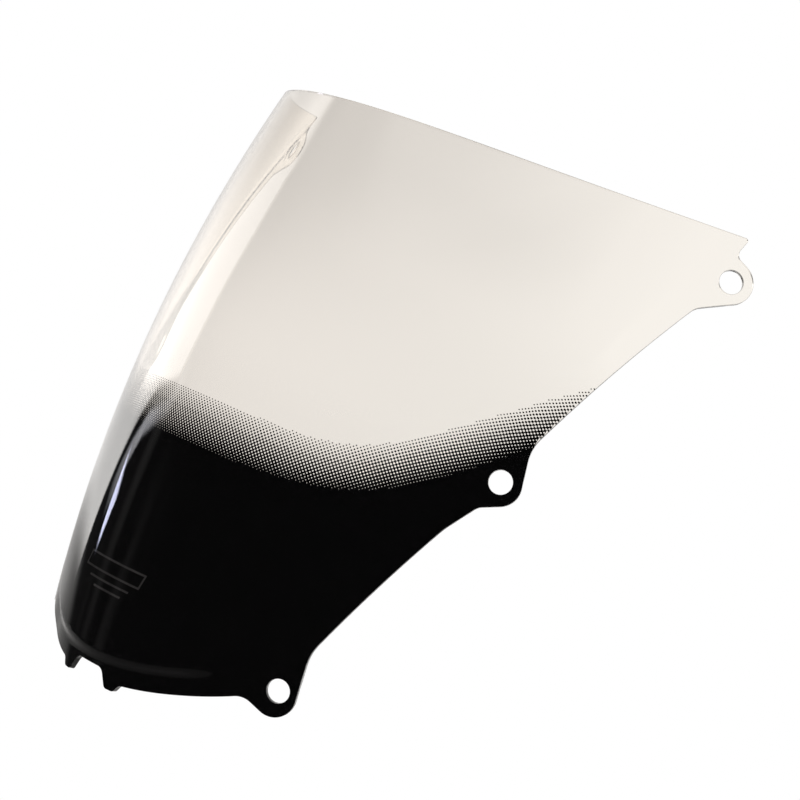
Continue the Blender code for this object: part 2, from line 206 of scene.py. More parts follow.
CEILING_GLOW, CEILING_EDGE, CEILING_SOFTNESS = 0.8, 50, 6
STRIP_OFFSET = 4.0                 # from the softbox's near edge to the strip light's middle
STRIP_HALF, STRIP_SOFTNESS = 1.7, 0.7
STRIP_TAPER = (0.5, 8)             # what half its width loses, by which elevation
STRIP_LEVEL = ((-2, 0, 2, 6, 9, 12, 15, 18), (0, 0.7, 1.1, 2.2, 2.0, 1.0, 0.6, 0))  # glow by elevation
STRIP_TINT = (0.98, 0.98, 1.04)
WINDOW = (-77.0, 1.0)              # azimuth and elevation of the window's middle
WINDOW_HALF = (1.0, 1.9)           # half its width at WINDOW_FOOT, and half its height
WINDOW_FOOT, WINDOW_SPREAD, WINDOW_SOFTNESS = -0.9, 0.45, 0.5
WINDOW_TINT = (5.4, 5.6, 7.4)
FOLD_GLOW, FOLD_WAVES, FOLD_LEAN = 0.06, (15, 23), 9    # of two waves: degrees of phase per degree
FOLDS, FOLDS_SOFTNESS = (-71, -36), (4, 10)             # azimuths between which the folds show
FOLD_LEVELS, FOLD_LEVELS_SOFTNESS = (-3, 18), (3, 6)    # elevations between which they show


# ---------------------------------------------------------------- the formed surface

def section(u, v):
    """Place on the cross section at height v: distance across, and setback behind the crown."""
    reach = np.abs(u)
    bend = BEND_NOSE + BEND_GROWTH * v
    bow = FLANK_BOW * (v - BOW_START)
    across = np.zeros_like(reach)
    setback = np.zeros_like(reach)
    for i in range(SECTION_STEPS):
        t = reach * (i + 0.5) / SECTION_STEPS
        turn = FLANK_ANGLE * np.tanh(t / bend) + bow * t
        across += np.cos(turn) * reach / SECTION_STEPS
        setback += np.sin(turn) * reach / SECTION_STEPS
    return np.copysign(across, u), setback


def smooth_formed(u, v):
    """The surface before the margin is stepped and the pads are flattened."""
    across, setback = section(u, v)
    pitch = NOSE_PITCH - v / CROWN_RADIUS
    crown_y = CROWN_RADIUS * (math.sin(NOSE_PITCH) - np.sin(pitch))
    crown_z = CROWN_RADIUS * (np.cos(pitch) - math.cos(NOSE_PITCH))
    return np.stack((across, crown_y + setback * np.sin(pitch), crown_z - setback * np.cos(pitch)), -1)


def unit(vectors):
    return vectors / np.linalg.norm(vectors, axis=-1, keepdims=True)


def facing(formed, u, v):
    """Outward unit normals of a surface function."""
    along_u = formed(u + NUDGE, v) - formed(u - NUDGE, v)
    along_v = formed(u, v + NUDGE) - formed(u, v - NUDGE)
    return unit(np.cross(along_u, along_v))


def line_inset(a, b, u, v):
    """Distance inboard of the straight line from a down to b."""
    du, dv = a[0] - b[0], a[1] - b[1]
    return (du * (v - b[1]) - dv * (u - b[0])) / math.hypot(du, dv)


def inset(u, v):
    """Distance inboard of the rim lines: the lines through the holes and the bottom edge, as one."""
    u = np.abs(u)
    slope = 2 * BOTTOM_RISE * u
    distances = np.stack((line_inset(HOLES[0], HOLES[1], u, v),
                          line_inset(HOLES[1], HOLES[2], u, v),
                          (v - BOTTOM_CENTRE - BOTTOM_RISE * u * u) / np.sqrt(1 + slope * slope)))
    nearest = distances.min(0)
    return nearest - STEP_ROUNDING * np.log(np.exp((nearest - distances) / STEP_ROUNDING).sum(0))


def ease(t):
    """Smooth rise from 0 to 1 with no kink in slope or curvature."""
    t = np.clip(t, 0.0, 1.0)
    return t * t * t * (t * (6 * t - 15) + 10)


def in_margin(u, v):
    """1 in the mounting margin, easing to 0 inboard of it."""
    return ease((STEP_INNER - inset(u, v)) / (STEP_INNER - STEP_OUTER))


def stepped(u, v):
    """The surface with its mounting margin stepped inwards."""
    nose = 1 - ease((np.abs(u) - NOSE_STEP_FADE[0]) / (NOSE_STEP_FADE[1] - NOSE_STEP_FADE[0]))
    sides = ease((v - SIDE_STEP_FADE[0]) / (SIDE_STEP_FADE[1] - SIDE_STEP_FADE[0]))
    share = np.maximum(nose, SIDE_SHARE * sides) * in_margin(u, v)
    return smooth_formed(u, v) - facing(smooth_formed, u, v) * (STEP_DEPTH * share)[..., None]


PADS = [(stepped(*np.array(hole)), facing(smooth_formed, *np.array(hole))) for hole in HOLES]


def outer_face(u, v):
    """The finished outer face: stepped margin and a flat pad round each hole."""
    point = stepped(np.abs(u), v)
    for seat, normal in PADS:
        away = point - seat
        reach = np.linalg.norm(away, axis=-1)
        flat = 1 - ease((reach - PAD_RADIUS) / (PAD_BLEND - PAD_RADIUS))
        point = point - normal * ((away @ normal) * flat)[..., None]
    return point * np.stack((np.where(u < 0, -1.0, 1.0), np.ones_like(u), np.ones_like(u)), -1)


def surface(plan):
    """Places on the outer face and outward normals for an array of (u, v)."""
    u, v = plan[:, 0], plan[:, 1]
    return outer_face(u, v), facing(outer_face, u, v)


# ---------------------------------------------------------------- outlines in (u, v)

def shrink(u, v):
    """How much a length along v is shortened by the setback of the flank."""
    return 1 - float(section(np.float64(u), np.float64(v))[1]) / CROWN_RADIUS


def arc_points(centre, radius, start, end):
    """Points of an arc that is round on the formed sheet, from one angle to another."""
    k = shrink(*centre)
    count = max(2, math.ceil(abs(end - start) / ARC_STEP))
    angles = [start + (end - start) * i / count for i in range(count + 1)]
    return [(centre[0] + radius * math.cos(a), centre[1] + radius * math.sin(a) / k) for a in angles]


def rounded_corner(before, corner, after):
    """Points of the arc that rounds a corner (u, v, radius) between two neighbours."""
    u, v, radius = corner
    k = shrink(u, v)
    back = Vector((before[0] - u, (before[1] - v) * k)).normalized()
    ahead = Vector((after[0] - u, (after[1] - v) * k)).normalized()
    half = back.angle(ahead) / 2
    towards = (back + ahead).normalized()
    centre = towards * radius / math.sin(half)
    sweep = math.pi - 2 * half
    side = 1 if back.cross(ahead) < 0 else -1
    start = math.atan2(-towards.y, -towards.x) - side * sweep / 2
    return arc_points((u + centre.x, v + centre.y / k), radius, start, start + side * sweep)


def ear_arc(before, centre, after):
    """Clockwise arc round an ear, tangent to the straight flanks that run to its two neighbours."""
    k = shrink(*centre)
    angles = []
    for neighbour, sign in ((before, -1), (after, 1)):
        du, dv = neighbour[0] - centre[0], (neighbour[1] - centre[1]) * k
        angles.append(math.atan2(dv, du) + sign * math.acos(EAR_RADIUS / math.hypot(du, dv)))
    while angles[1] > angles[0]:
        angles[1] -= math.tau
    return arc_points(centre, EAR_RADIUS, angles[0], angles[1])


def top_edge(u):
    return TOP_CENTRE + TOP_RISE * u * u


def bottom_edge(u):
    return BOTTOM_CENTRE + BOTTOM_RISE * u * u


def evenly(start, end, step):
    count = max(1, round(abs(end - start) / step))
    return [start + (end - start) * i / count for i in range(count + 1)]


def half_rim():
    """The rim of the +X half, from the middle of the top edge round to the middle of the nose arch."""
    top = [(u, top_edge(u)) for u in evenly(0, TOP_TIP[0] - 3 * MM, GRID)]
    bottom = [(u, bottom_edge(u)) for u in evenly(EAR_3_FOOT[0] - 6 * MM, TOOTH_ROOT[0] + 4 * MM, GRID)]
    ears = EAR_CENTRES
    rim = list(top)
    rim += rounded_corner(top[-1], (*TOP_TIP, TIP_RADIUS), NOTCH_CORNER)
    rim += rounded_corner(TOP_TIP, NOTCH_CORNER, ear_arc(NOTCH_CORNER, ears[0], EAR_1_FOOT)[0])
    for head, ear, foot, beyond in ((NOTCH_CORNER, ears[0], EAR_1_FOOT, EAR_2_HEAD),
                                    (EAR_2_HEAD, ears[1], EAR_2_FOOT, SIDE_BEND),
                                    (EAR_3_HEAD, ears[2], EAR_3_FOOT, bottom[0])):
        ear_points = ear_arc(head, ear, foot)
        if head is EAR_2_HEAD:
            rim += rounded_corner(EAR_1_FOOT, head, ear_points[0])
        if head is EAR_3_HEAD:
            rim += rounded_corner(EAR_2_FOOT, SIDE_BEND, head)
            rim += rounded_corner(SIDE_BEND, head, ear_points[0])
        rim += ear_points
        rim += rounded_corner(ear_points[-1], foot, beyond)
    rim += bottom
    rim += rounded_corner(bottom[-1], TOOTH_ROOT, TOOTH_OUTER)
    rim += rounded_corner(TOOTH_ROOT, TOOTH_OUTER, TOOTH_INNER)
    rim += rounded_corner(TOOTH_OUTER, TOOTH_INNER, ARCH_CORNER)
    rim += rounded_corner(TOOTH_INNER, ARCH_CORNER, (0, ARCH_CORNER[1]))
    rim.append((0.0, ARCH_CORNER[1]))
    return evened_out(rim)


def evened_out(line):
    """The same line without points that crowd each other, and with points added to long stretches."""
    spaced = [line[0]]
    for point in line[1:]:
        if math.dist(point, spaced[-1]) > CROWDED:
            spaced.append(point)
    dense = [spaced[0]]
    for (u0, v0), (u1, v1) in zip(spaced, spaced[1:]):
        count = max(1, math.ceil(math.hypot(u1 - u0, v1 - v0) / GRID))
        dense += [(u0 + (u1 - u0) * i / count, v0 + (v1 - v0) * i / count) for i in range(1, count + 1)]
    return dense


def drawn_in(line, distance):
    """A clockwise line moved inboard by a distance on the formed sheet. Its ends stay on the centre line."""
    moved = []
    for i, (u, v) in enumerate(line):
        k = shrink(u, v)
        u0, v0 = line[i - 1] if i else (-line[1][0], line[1][1])
        u1, v1 = line[i + 1] if i + 1 < len(line) else (-line[-2][0], line[-2][1])
        back = Vector((u - u0, (v - v0) * k)).normalized()
        ahead = Vector((u1 - u, (v1 - v) * k)).normalized()
        along = (back + ahead).normalized()
        reach = distance / max(0.5, along.dot(ahead))
        moved.append((u + along.y * reach, v - along.x * reach / k))
    moved[0] = (0.0, moved[0][1])
    moved[-1] = (0.0, moved[-1][1])
    return moved


def band_line(u, line):
    """Height of one line of the fading band: level over the crown, then rising along the flank."""
    level, corner, softness, slope = line
    return level + slope * softness * np.log1p(np.exp((np.abs(u) - corner) / softness))


# ---------------------------------------------------------------- plans

def inside(loop, points):
    """Whether each point of an array lies inside a closed loop."""
    ends = np.array(loop)
    u0, v0 = ends.T
    u1, v1 = np.roll(ends, -1, 0).T
    slope = np.where(v0 == v1, 0.0, (u1 - u0) / np.where(v0 == v1, 1.0, v1 - v0))
    within = []
    for part in np.array_split(points, max(1, len(points) // POINTS_AT_ONCE[0])):
        u, v = part[:, :1], part[:, 1:]
        crossed = ((v0 > v) != (v1 > v)) & (u < u0 + (v - v0) * slope)
        within.append(crossed.sum(1) % 2 == 1)
    return np.concatenate(within)


def clearance(points, chains):
    """Distance from each point to the nearest of the chains' segments."""
    a = np.concatenate([np.array(chain[:-1]) for chain in chains])
    b = np.concatenate([np.array(chain[1:]) for chain in chains])
    span = b - a
    square = np.maximum((span ** 2).sum(1), 1e-18)
    nearest = []
    for part in np.array_split(points, max(1, len(points) // POINTS_AT_ONCE[1])):
        away = part[:, None] - a
        share = np.clip((away * span).sum(2) / square, 0, 1)
        nearest.append(np.linalg.norm(away - span * share[..., None], axis=2).min(1))
    return np.concatenate(nearest)


def half_plan():
    """Points and triangles of the +X half of the sheet, cut along the foot of the fading band."""
    rim = drawn_in(half_rim(), EDGE_ROUND)
    loop = rim + [(0.0, v) for v in evenly(rim[-1][1], rim[0][1], GRID)][1:-1]
    rings = [arc_points(hole, HOLE_RADIUS + EDGE_ROUND, 0, math.tau)[:-1] for hole in HOLES]
    foot = [(u, float(band_line(u, BAND_FOOT))) for u in evenly(0, TOP_TIP[0], GRID)]
    beyond = int(np.argmin(inside(loop, np.array(foot[1:])))) + 2
    chains = [loop + loop[:1], foot[:beyond]] + [ring + ring[:1] for ring in rings]

    rows = []
    for row, v in enumerate(evenly(0, GRID_SPAN[1], GRID * math.sqrt(0.75))):
        columns = np.arange(0, GRID_SPAN[0], GRID) + (0.5 * GRID if row % 2 else 0.0)
        rows.append(np.stack((columns, np.full_like(columns, v)), 1))
    grid = np.concatenate(rows)
    grid = grid[inside(loop, grid)]
    grid = grid[clearance(grid, chains) > EDGE_ROOM]

    points, edges = [], []
    for chain in chains:
        first = len(points)
        points += chain
        edges += [(first + i, first + i + 1) for i in range(len(chain) - 1)]
    points += [tuple(point) for point in grid]
    flat, _, triangles, *_ = delaunay_2d_cdt([Vector(p) for p in points], edges, [], 0, 1e-7)
    flat, triangles = np.array([tuple(p) for p in flat]), np.array(triangles)
    middle = flat[triangles].mean(1)
    kept = (middle[:, 0] > 1e-6) & inside(loop, middle)
    for ring in rings:
        kept &= ~inside(ring, middle)
    return flat, triangles[kept]


def both_halves(points, triangles):
    """A half plan and its mirror image over the centre line. The points on the line are shared."""
    on_line = points[:, 0] < 1e-6
    points = np.where(on_line[:, None], points * (0, 1), points)
    twin = np.where(on_line, np.arange(len(points)), len(points) + np.cumsum(~on_line) - 1)
    mirrored = points[~on_line] * (-1, 1)
    return np.concatenate((points, mirrored)), np.concatenate((triangles, twin[triangles[:, ::-1]]))


def open_edges(faces):
    """The directed edges that only one face has, so that the plan lies on their left."""
    found = {}
    for face in faces:
        for a, b in zip(face, face[1:] + face[:1]):
            if found.pop((b, a), None) is None:
                found[(a, b)] = True
    return list(found)


def used_only(faces, *arrays):
    """Faces and arrays by point, without the points that no face uses."""
    used = np.unique(np.concatenate([np.asarray(face) for face in faces]))
    place = np.full(len(arrays[0]), -1)
    place[used] = np.arange(len(used))
    return [place[list(face)].tolist() for face in faces], *(array[used] for array in arrays)


def outward(points, faces):
    """For points on the edge of the sheet the unit way out of it, along the sheet. Zero for all others."""
    outer, normal = surface(points)
    edges = open_edges(faces)
    after, before = dict(edges), {b: a for a, b in edges}
    rim = sorted(after)
    ahead = outer[[after[i] for i in rim]] - outer[rim]
    back = outer[rim] - outer[[before[i] for i in rim]]
    out = np.zeros_like(outer)
    out[rim] = unit(np.cross(unit(unit(ahead) + unit(back)), normal[rim]))
    return out


# ---------------------------------------------------------------- meshes

def new_piece(name, vertices, faces, looks, node):
    """A mesh object that rides on the part's only body and takes its finish from a slot."""
    data = bpy.data.meshes.new(name)
    data.from_pydata(vertices.tolist(), [], faces)
    data.validate()
    for look in looks:
        data.materials.append(look)
    data.shade_smooth()
    piece = bpy.data.objects.new(name, data)
    bpy.context.scene.collection.objects.link(piece)
    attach(piece, "root")
    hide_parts(node)
    return piece


def clear_sheet(points, out, faces, look):
    """The acrylic sheet: two skins, and round every edge a broken outer corner and a cut wall."""
    faces, points, out = used_only(faces, points, out)
    count = len(points)
    outer, normal = surface(points)
    edges = open_edges(faces)
    rim = sorted({a for a, _ in edges})

    angles = [math.pi / 2 * (i + 1) / EDGE_ROWS for i in range(EDGE_ROWS)]
    places = [outer, outer - normal * THICKNESS + out * EDGE_ROUND]
    ways = [normal, out]
    for angle in angles:
        drop = normal[rim] * EDGE_ROUND * (1 - math.cos(angle))
        places.append(outer[rim] + out[rim] * EDGE_ROUND * math.sin(angle) - drop)
        ways.append(normal[rim] * math.cos(angle) + out[rim] * math.sin(angle))
    walls = []
    spot = {point: i for i, point in enumerate(rim)}
    for a, b in edges:
        ladder_a = [a] + [2 * count + k * len(rim) + spot[a] for k in range(EDGE_ROWS)] + [count + a]
        ladder_b = [b] + [2 * count + k * len(rim) + spot[b] for k in range(EDGE_ROWS)] + [count + b]
        for k in range(len(ladder_a) - 1):
            walls.append([ladder_b[k], ladder_a[k], ladder_a[k + 1], ladder_b[k + 1]])
    under = [[i + count for i in reversed(face)] for face in faces]

    data = new_piece("screen_sheet", np.concatenate(places), faces + under + walls, [look],
                     "screen_shell").data
    ways = np.concatenate(ways)
    corners = [ways[face] for face in faces] + [-normal[np.array(face) - count] for face in under]
    corners += [ways[face] for face in walls]
    data.normals_split_custom_set(np.concatenate(corners).tolist())
    plan = data.attributes.new("plan", "FLOAT_VECTOR", "POINT")
    where = np.concatenate([points, points] + [points[rim]] * EDGE_ROWS)
    cut = np.concatenate((np.zeros(2 * count), np.ones(len(rim) * EDGE_ROWS)))
    plan.data.foreach_set("vector", np.column_stack((where, cut)).astype(np.float32).ravel())
    margin = data.attributes.new("margin", "FLOAT", "POINT")
    margin.data.foreach_set("value", in_margin(where[:, 0], where[:, 1]).astype(np.float32))


def film(name, points, out, faces, front, back, looks, node):
    """A printed film as a closed thin solid between two depths. Its front has the first look."""
    faces, points, out = used_only(faces, points, out)
    count = len(points)
    outer, normal = surface(points)
    outer = outer + out * (EDGE_ROUND + INK_BEAD)
    vertices = np.concatenate((outer - normal * front, outer - normal * back))
    solid = list(faces) + [[i + count for i in reversed(face)] for face in faces]
    solid += [[b, a, a + count, b + count] for a, b in open_edges(faces)]
    piece = new_piece(name, vertices, solid, looks, node)
    piece.data.set_sharp_from_angle(angle=SHARP_ANGLE)
    look = np.ones(len(solid), np.int32)
    look[:len(faces)] = 0
    piece.data.polygons.foreach_set("material_index", look)


def dot_reaches(shares):
    """How far a dot that covers a share of its cell reaches in each direction, in cells. The dots are the
    level lines of cos(pi x) cos(pi y): round when small, and square when they fill the cell."""
    side = (np.arange(DOT_SAMPLES) + 0.5) / (2 * DOT_SAMPLES)
    heights = np.sort((np.cos(np.pi * side)[:, None] * np.cos(np.pi * side)).ravel())[::-1]
    level = heights[np.clip((shares * len(heights)).astype(int), 0, len(heights) - 1)][:, None]
    level = np.maximum(level, FLATTEST_LINE)
    angles = 2 * np.pi * np.arange(DOT_SIDES) / DOT_SIDES
    x, y = np.cos(angles), np.sin(angles)
    near = np.zeros((len(shares), DOT_SIDES))
    far = np.broadcast_to(0.5 / np.maximum(np.abs(x), np.abs(y)), near.shape).copy()
    for _ in range(ROUNDS):
        middle = (near + far) / 2
        within = np.cos(np.pi * middle * x) * np.cos(np.pi * middle * y) > level
        near, far = np.where(within, middle, near), np.where(within, far, middle)
    return np.stack((near * x, near * y), -1)


def printed(cells):
    """Places (u, v) on the formed sheet of points of the dot screen, given in cells."""
    column, row = cells[:, 0], cells[:, 1]
    u, v = column / SCREEN_PITCH[0], row / SCREEN_PITCH[1]
    for _ in range(ROUNDS):
        u, v = ((column + SCREEN_STRETCH[0] * u ** 3 + SCREEN_LEAN * (v - SCREEN_MIDDLE)) / SCREEN_PITCH[0],
                (row - SCREEN_STRETCH[1] * np.abs(u) ** 3) / SCREEN_PITCH[1])
    return np.stack((u, v), 1) * MM


def dot_cells(loop, rings):
    """The cells of the fading band that fit on the sheet: where they are, how black the band is there, and
    whether they are of the dark colour. Cells that the cut edge crosses stay only if they are dark. For
    those the last array is the room round their centre in cells, and for all others it is infinite."""
    cell = np.stack(np.meshgrid(np.arange(*SCREEN_COLUMNS), np.arange(*SCREEN_ROWS)), -1).reshape(-1, 2)
    u, v = printed(cell).T
    foot = band_line(u, BAND_FOOT)
    fade = (v - foot) / (band_line(u, BAND_EDGE) - foot)
    black = np.where(fade < 0, 1, 1 - SMALLEST_HOLE - fade * (BAND_FADE[0] + fade * BAND_FADE[1]))
    kept = (fade < 1) & (v > foot - BAND_OVERLAP)
    cell, black = cell[kept], black[kept]

    def mirrored_over(cells):
        """Places of cells, with those of the -X half moved to the +X half, where the loop is."""
        spots = printed(cells)
        return np.stack((np.abs(spots[:, 0]) + 1e-7, spots[:, 1]), 1)

    def on_sheet(spots):
        within = inside(loop, spots)
        for ring in rings:
            within &= ~inside(ring, spots)
        return within

    whole = np.ones(len(cell), bool)
    for corner in ((-0.5, -0.5), (0.5, -0.5), (0.5, 0.5), (-0.5, 0.5)):
        whole &= on_sheet(mirrored_over(cell + corner))
    centre = mirrored_over(cell)
    room = clearance(centre, [loop] + [ring + ring[:1] for ring in rings]) * SCREEN_PITCH[1] / MM
    dark = (cell.sum(1) % 2) == 0
    kept = whole | (dark & (room > LEAST_ROOM) & on_sheet(centre))
    return cell[kept], black[kept], dark[kept], np.where(whole, np.inf, room)[kept]


def dot_plan(loop, rings):
    """Plan of the fading band. The cells alternate like a chess board. Going down, dots grow in the cells of
    one colour until they fill them, and then the cells of the other colour close round shrinking holes."""
    cell, black, dark, room = dot_cells(loop, rings)
    by_rim = np.isfinite(room)
    share = np.where(dark, 2 * black, 2 * (1 - black))
    reaches = dot_reaches(np.clip(share, LEAST_DOT, 1.0))
    # Dots beside the cut edge shrink until they fit.
    widest = np.linalg.norm(reaches, axis=-1).max(1)
    reaches[by_rim] *= np.minimum(1, room / widest)[by_rim, None, None]
    share[by_rim] = np.minimum(share[by_rim], LARGEST_EDGE_DOT)

    points, faces, corners = [], [], {}

    def corner_point(key):
        if key not in corners:
            corners[key] = len(points)
            points.append((key[0] / 2, key[1] / 2))
        return corners[key]

    quarter = DOT_SIDES // 4
    for (column, row), is_dark, part, reach in zip(cell.tolist(), dark, share, reaches):
        if is_dark and part < 1:
            first = len(points)
            points += [(column + x, row + y) for x, y in reach]
            faces.append(list(range(first, first + DOT_SIDES)))
            continue
        if not is_dark and part >= 1:
            continue
        square = [corner_point((2 * column + du, 2 * row + dv))
                  for du, dv in ((1, -1), (1, 1), (-1, 1), (-1, -1))]
        if is_dark or part < CLOSED_HOLE:
            faces.append(square)
            continue
        first = len(points)
        points += [(column + x, row + y) for x, y in reach]
        for side in range(4):
            a, b = square[side], square[(side + 1) % 4]
            hole = [first + (side * quarter + step) % DOT_SIDES
                    for step in range(-quarter // 2, quarter // 2 + 1)]
            half = len(hole) // 2
            faces += [[hole[i], a, hole[i + 1]] for i in range(half)]
            faces.append([hole[half], a, b])
            faces += [[hole[i], b, hole[i + 1]] for i in range(half, len(hole) - 1)]
    return printed(np.array(points)), faces


def strip_plan(centre, width, height, slant=0.0):
    """Plan of a slanted bar."""
    columns = max(2, round(width / MARK_STEP))
    points, faces = [], []
    for row in (-1, 1):
        for i in range(columns + 1):
            v = row * height / 2
            points.append((centre[0] + width * (i / columns - 0.5) + v * slant, centre[1] + v))
    for i in range(columns):
        faces.append([i, i + 1, columns + 2 + i, columns + 1 + i])
    return points, faces


def mark_plan():
    """Plan of the mark: a slanted frame over two bars."""
    def outline(width, height):
        loop = []
        steps = max(2, round(MARK_SIZE[0] / MARK_STEP))
        for i in range(steps):
            loop.append((i / steps - 0.5, -0.5))
        loop += [(0.5, -0.5), (0.5, 0.0)]
        for i in range(steps):
            loop.append((0.5 - i / steps, 0.5))
        loop += [(-0.5, 0.5), (-0.5, 0.0)]
        return [(MARK_CENTRE[0] + x * width + y * height * MARK_SLANT, MARK_CENTRE[1] + y * height)
                for x, y in loop]

    outer = outline(*MARK_SIZE)
    inner = outline(MARK_SIZE[0] - MARK_SIDE_LINES, MARK_SIZE[1] - 2 * MARK_LINE)
    n = len(outer)
    points = outer + inner
    faces = [[i, (i + 1) % n, n + (i + 1) % n, n + i] for i in range(n)]
    for centre, width in MARK_BARS:
        more, quads = strip_plan(centre, width, MARK_LINE, MARK_SLANT)
        faces += [[i + len(points) for i in quad] for quad in quads]
        points += more
    return np.array(points), faces


# ---------------------------------------------------------------- materials

class Look:
    """A material under construction: nodes by type, with their inputs set by name or linked."""

    def __init__(self, name):
        self.material = bpy.data.materials.new(name)
        self.material.use_nodes = True
        self.tree = self.material.node_tree
        self.shader = self.tree.nodes["Principled BSDF"]

    def set(self, **values):
        for name, value in values.items():
            self.shader.inputs[name.replace("_", " ")].default_value = value

    def node(self, kind, inputs=None, **settings):
        made = self.tree.nodes.new(kind)
        for name, value in settings.items():
            setattr(made, name, value)
        for key, value in (inputs or {}).items():
            if isinstance(value, bpy.types.NodeSocket):
                self.tree.links.new(value, made.inputs[key])
            else:
                made.inputs[key].default_value = value
        return made

    def math(self, operation, *values, clamp=False):
        made = self.node("ShaderNodeMath", dict(enumerate(values)), operation=operation, use_clamp=clamp)
        return made.outputs[0]

    def noise(self, scale, detail=3.0, roughness=0.5, stretch=(1, 1, 1)):
        place = self.node("ShaderNodeTexCoord").outputs["Object"]
        mapped = self.node("ShaderNodeMapping", {"Vector": place, "Scale": stretch}).outputs[0]
        made = self.node("ShaderNodeTexNoise", {"Vector": mapped, "Scale": scale, "Detail": detail,
                                                "Roughness": roughness})
        return made.outputs["Fac"]

    def ranged(self, value, low, high, to_low, to_high):
        """A smooth passage from one level to another while the value goes from low to high."""
        made = self.node("ShaderNodeMapRange", {"Value": value, "From Min": low, "From Max": high,
                                                "To Min": to_low, "To Max": to_high})
        made.interpolation_type = "SMOOTHSTEP"
        return made.outputs["Result"]

    def mix(self, share, a, b):
        made = self.node("ShaderNodeMix", data_type="RGBA")
        for socket, value in zip((made.inputs[0], made.inputs[6], made.inputs[7]), (share, a, b)):
            if isinstance(value, bpy.types.NodeSocket):
                self.tree.links.new(value, socket)
            else:
                socket.default_value = value
        return made.outputs[2]

    def bump(self, height, strength, distance):
        made = self.node("ShaderNodeBump", {"Height": height, "Strength": strength, "Distance": distance})
        return made.outputs[0]

    def link(self, value, name):
        self.tree.links.new(value, self.shader.inputs[name])


def acrylic_look():
    """Clear cast acrylic with a light warm smoke tint, deepest at the top of the crown. Its colour also holds
    painted light in the margin by the rear ears and painted shade on one cut edge.
    """
    look = Look("clear_acrylic")
    look.set(IOR=IOR)
    look.shader.inputs["Transmission Weight"].default_value = 1.0
    place = look.node("ShaderNodeAttribute", attribute_name="plan").outputs["Vector"]
    u, v, cut = look.node("ShaderNodeSeparateXYZ", {0: place}).outputs
    across = look.math("ABSOLUTE", u)

    # Higher up, the red share rises from the centre line to the rear ears, with a dip on the way.
    upper = look.ranged(v, *FAN_ZONE, 0.0, 1.0)
    fan = look.math("ADD", look.math("MULTIPLY", across, FAN_RISE), FAN_START)
    high = look.ranged(v, *DIP_ZONE, 0.0, DIP_SHARE)
    arch = look.math("MULTIPLY", across, look.math("SUBTRACT", DIP_END, across), clamp=True)
    dip = look.math("MULTIPLY", arch, DIP_SCALE)
    tint = look.math("SUBTRACT", look.math("MULTIPLY", upper, fan), look.math("MULTIPLY", high, dip))
    tint = look.math("SUBTRACT", tint, look.ranged(v, *PRINT_ZONE, PRINT_SHADE, 0.0))
    # Painted light: the margin by the rear ears is made lighter, standing in for its brighter reflection.
    margin = look.node("ShaderNodeAttribute", attribute_name="margin").outputs["Fac"]
    painted_margin_light = look.math("MULTIPLY", margin, look.ranged(v, *MARGIN_LIGHT_ZONE, 0.0, MARGIN_PAINTED_LIGHT))
    tint = look.math("ADD", tint, painted_margin_light)
    # Painted shade: the cut edge of the +X side is darkened in its colour, because the all-white stage lights
    # it too brightly for the camera's view. The other side stays as it is. This difference between the sides
    # is painted shade, not shape.
    darker = look.math("MULTIPLY", cut, look.ranged(u, *EDGE_SHADE_ZONE, 0.0, PAINTED_EDGE_SHADE))
    tint = look.math("SUBTRACT", tint, darker)
    cloud = look.math("MULTIPLY", look.math("SUBTRACT", look.noise(*CLOUDING), 0.5), CLOUD)
    red = look.math("ADD", look.math("ADD", tint, cloud), RED, clamp=True)
    others = []
    for at_centre, per_metre in (GREEN, BLUE):
        share = look.math("ADD", look.math("MULTIPLY", across, per_metre), at_centre)
        others.append(look.math("MULTIPLY", red, share))
    colour = look.node("ShaderNodeCombineColor", {0: red, 1: others[0], 2: others[1]}).outputs[0]
    look.link(colour, "Base Color")

    # Polished faces with faint wiping marks, and cut edges that are only sanded.
    wiped = look.ranged(look.noise(*WIPING), *WIPING_RANGE, *FACE_ROUGHNESS)
    look.link(look.node("ShaderNodeMix", {0: cut, 2: wiped, 3: CUT_ROUGHNESS}).outputs[0], "Roughness")
    look.link(look.bump(look.noise(*RIPPLE), *RIPPLE_BUMP), "Normal")
    return look.material


def ink_look(name, colours, front):
    """Screen-printed ink. The front is bonded to the sheet, and the back is satin with a fine grain."""
    look = Look(name)
    mottle = look.ranged(look.noise(*MOTTLE), *MOTTLE_RANGE, 0.0, 1.0)
    look.link(look.mix(mottle, (*colours[0], 1), (*colours[1], 1)), "Base Color")
    look.set(IOR=IOR)
    if front:
        look.shader.inputs["Specular IOR Level"].default_value = 0.0
        look.set(Roughness=BONDED_ROUGHNESS)
    else:
        look.link(look.ranged(look.noise(*SATIN), *SATIN_RANGE, *SATIN_ROUGHNESS), "Roughness")
        look.link(look.bump(look.noise(*GRAIN), *GRAIN_BUMP), "Normal")
    return look.material


# ---------------------------------------------------------------- stage

def was_mirrored(tree):
    """1 for rays that have been mirrored on their way, and 0 for all others."""
    path = tree.nodes.new("ShaderNodeLightPath")
    over = tree.nodes.new("ShaderNodeMath")
    over.operation = "GREATER_THAN"
    over.inputs[1].default_value = 0.5
    tree.links.new(path.outputs["Glossy Depth"], over.inputs[0])
    return over.outputs[0]


def make_world():
    """White all round, a little less bright for rays that the screen has mirrored."""
    world = bpy.data.worlds.new("studio")
    bpy.context.scene.world = world
    world.use_nodes = True
    tree = world.node_tree
    mix = tree.nodes.new("ShaderNodeMix")
    mix.data_type = "RGBA"
    tree.links.new(was_mirrored(tree), mix.inputs[0])
    mix.inputs[6].default_value = (*WHITE, 1)
    mix.inputs[7].default_value = (*CEILING, 1)
    tree.links.new(mix.outputs[2], tree.nodes["Background"].inputs["Color"])


